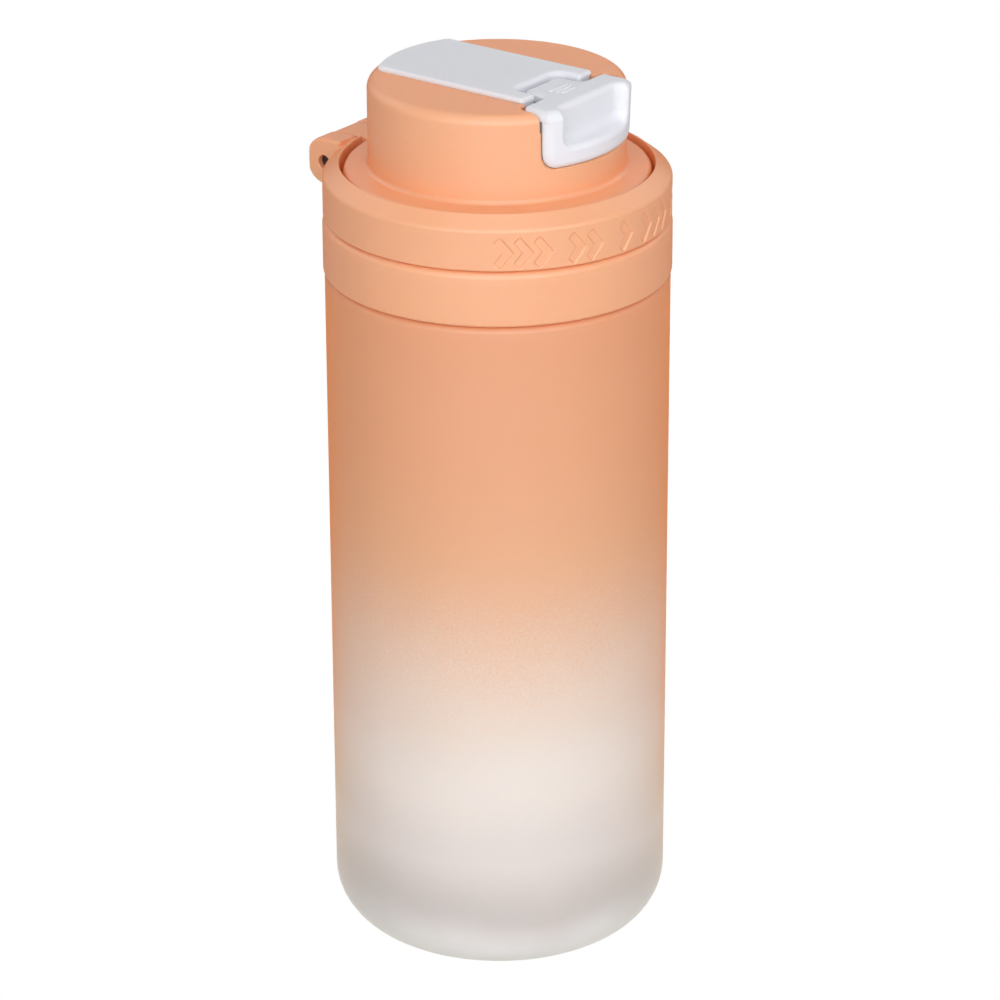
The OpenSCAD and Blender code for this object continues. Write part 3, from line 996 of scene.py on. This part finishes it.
latch = skin(
    "latch_rocker", latch_field,
    both_sides(steps((0, 4.2, 0.17), (4.2, 10.0, 0.22), (10.0, 15.2, 0.16))),
    steps((-28.5, -10.8, 0.16)),
    steps((173.4, 181.2, 0.3), (181.2, 194.5, 0.16)),
)
piece(latch, "latch_button", "latch", WHITE)

piece(rod_mesh("latch_rod", 1.0, -10.0, 10.0, LY, LZ, 0.2), "latch_pin", "flip", STEEL)
c = coil_path(1.45, 0.87, 4.4)
piece(
    swept("latch_coil", np.stack([c[:, 0], -16.75 - c[:, 2], ZB + 36.4 + c[:, 1]], 1), 0.225),
    "latch_spring", "flip", STEEL,
)

# ---------------------------------------------------------------- studio


def area(name, at, aim, size, power):
    d = bpy.data.lights.new(name, "AREA")
    d.energy = power
    d.size = size
    o = bpy.data.objects.new(name, d)
    o.visible_camera = False
    scene.collection.objects.link(o)
    at, aim = Vector(at), Vector(aim)
    o.matrix_world = Matrix.Translation(at) @ (aim - at).to_track_quat("-Z", "Y").to_matrix().to_4x4()
    return o


def around(turn, rise, far):
    """A point at an angle from the camera's side, towards the right of the view."""
    a = math.radians(-53.06 + turn)
    e = math.radians(rise)
    return Vector((math.sin(a) * math.cos(e), -math.cos(a) * math.cos(e), math.sin(e))) * far + Vector((0, 0, 0.1))


for name, turn, rise, size, power in (
    ("front", 0, 15, 1.6, 15.9),
    ("high", 0, 66, 0.8, 2.3),
    ("top", 0, 90, 0.8, 1.6),
    ("right", 45, 22, 0.8, 3.3),
    ("left", -40, 20, 0.8, 1.7),
    ("right_side", 85, 20, 0.8, 0.5),
    ("left_side", -80, 20, 0.8, 0.6),
    ("back_right", 130, 30, 1.2, 3.4),
    ("back_left", -130, 30, 1.2, 3.4),
    ("back", 180, 24, 0.8, 1.0),
):
    area(name, around(turn, rise, 1.4), (0, 0, 0.10), size, power)

world = bpy.data.worlds.new("studio")
scene.world = world
world.use_nodes = True
world.node_tree.nodes["Background"].inputs["Color"].default_value = (1, 1, 1, 1)
world.node_tree.nodes["Background"].inputs["Strength"].default_value = 0.18


def stage(name, co, faces, colour, glow, seen):
    """A floor or backdrop. The one that is seen is plain white, the other gives the bounced light."""
    me = bpy.data.meshes.new(name)
    me.from_pydata(co, [], faces)
    ob = bpy.data.objects.new(name, me)
    scene.collection.objects.link(ob)
    m = bpy.data.materials.new(name)
    m.use_nodes = True
    b = m.node_tree.nodes["Principled BSDF"]
    b.inputs["Base Color"].default_value = (*colour, 1)
    b.inputs["Roughness"].default_value = 0.9
    b.inputs["Specular IOR Level"].default_value = 0.0
    b.inputs["Emission Color"].default_value = (1, 1, 1, 1)
    b.inputs["Emission Strength"].default_value = glow
    me.materials.append(m)
    ob.visible_camera = seen
    ob.visible_diffuse = not seen
    ob.visible_glossy = not seen
    ob.visible_transmission = not seen
    ob.visible_shadow = False
    return ob


W = 6.0
floor = stage(
    "floor", [(-W, -W, -0.0002), (W, -W, -0.0002), (W, W, -0.0002), (-W, W, -0.0002)], [(0, 1, 2, 3)],
    (0.0, 0.0, 0.0), 1.0, True,
)
backdrop = stage(
    "backdrop",
    [(-W, -W, -0.01), (W, -W, -0.01), (W, W, -0.01), (-W, W, -0.01), (-W, -W, W), (W, -W, W), (W, W, W), (-W, W, W)],
    [(0, 1, 5, 4), (1, 2, 6, 5), (2, 3, 7, 6), (3, 0, 4, 7), (4, 5, 6, 7)],
    (0.0, 0.0, 0.0), 1.0, True,
)
bounce = stage(
    "bounce", [(-W, -W, -0.0004), (W, -W, -0.0004), (W, W, -0.0004), (-W, W, -0.0004)], [(0, 1, 2, 3)],
    (0.5, 0.5, 0.5), 0.055, False,
)
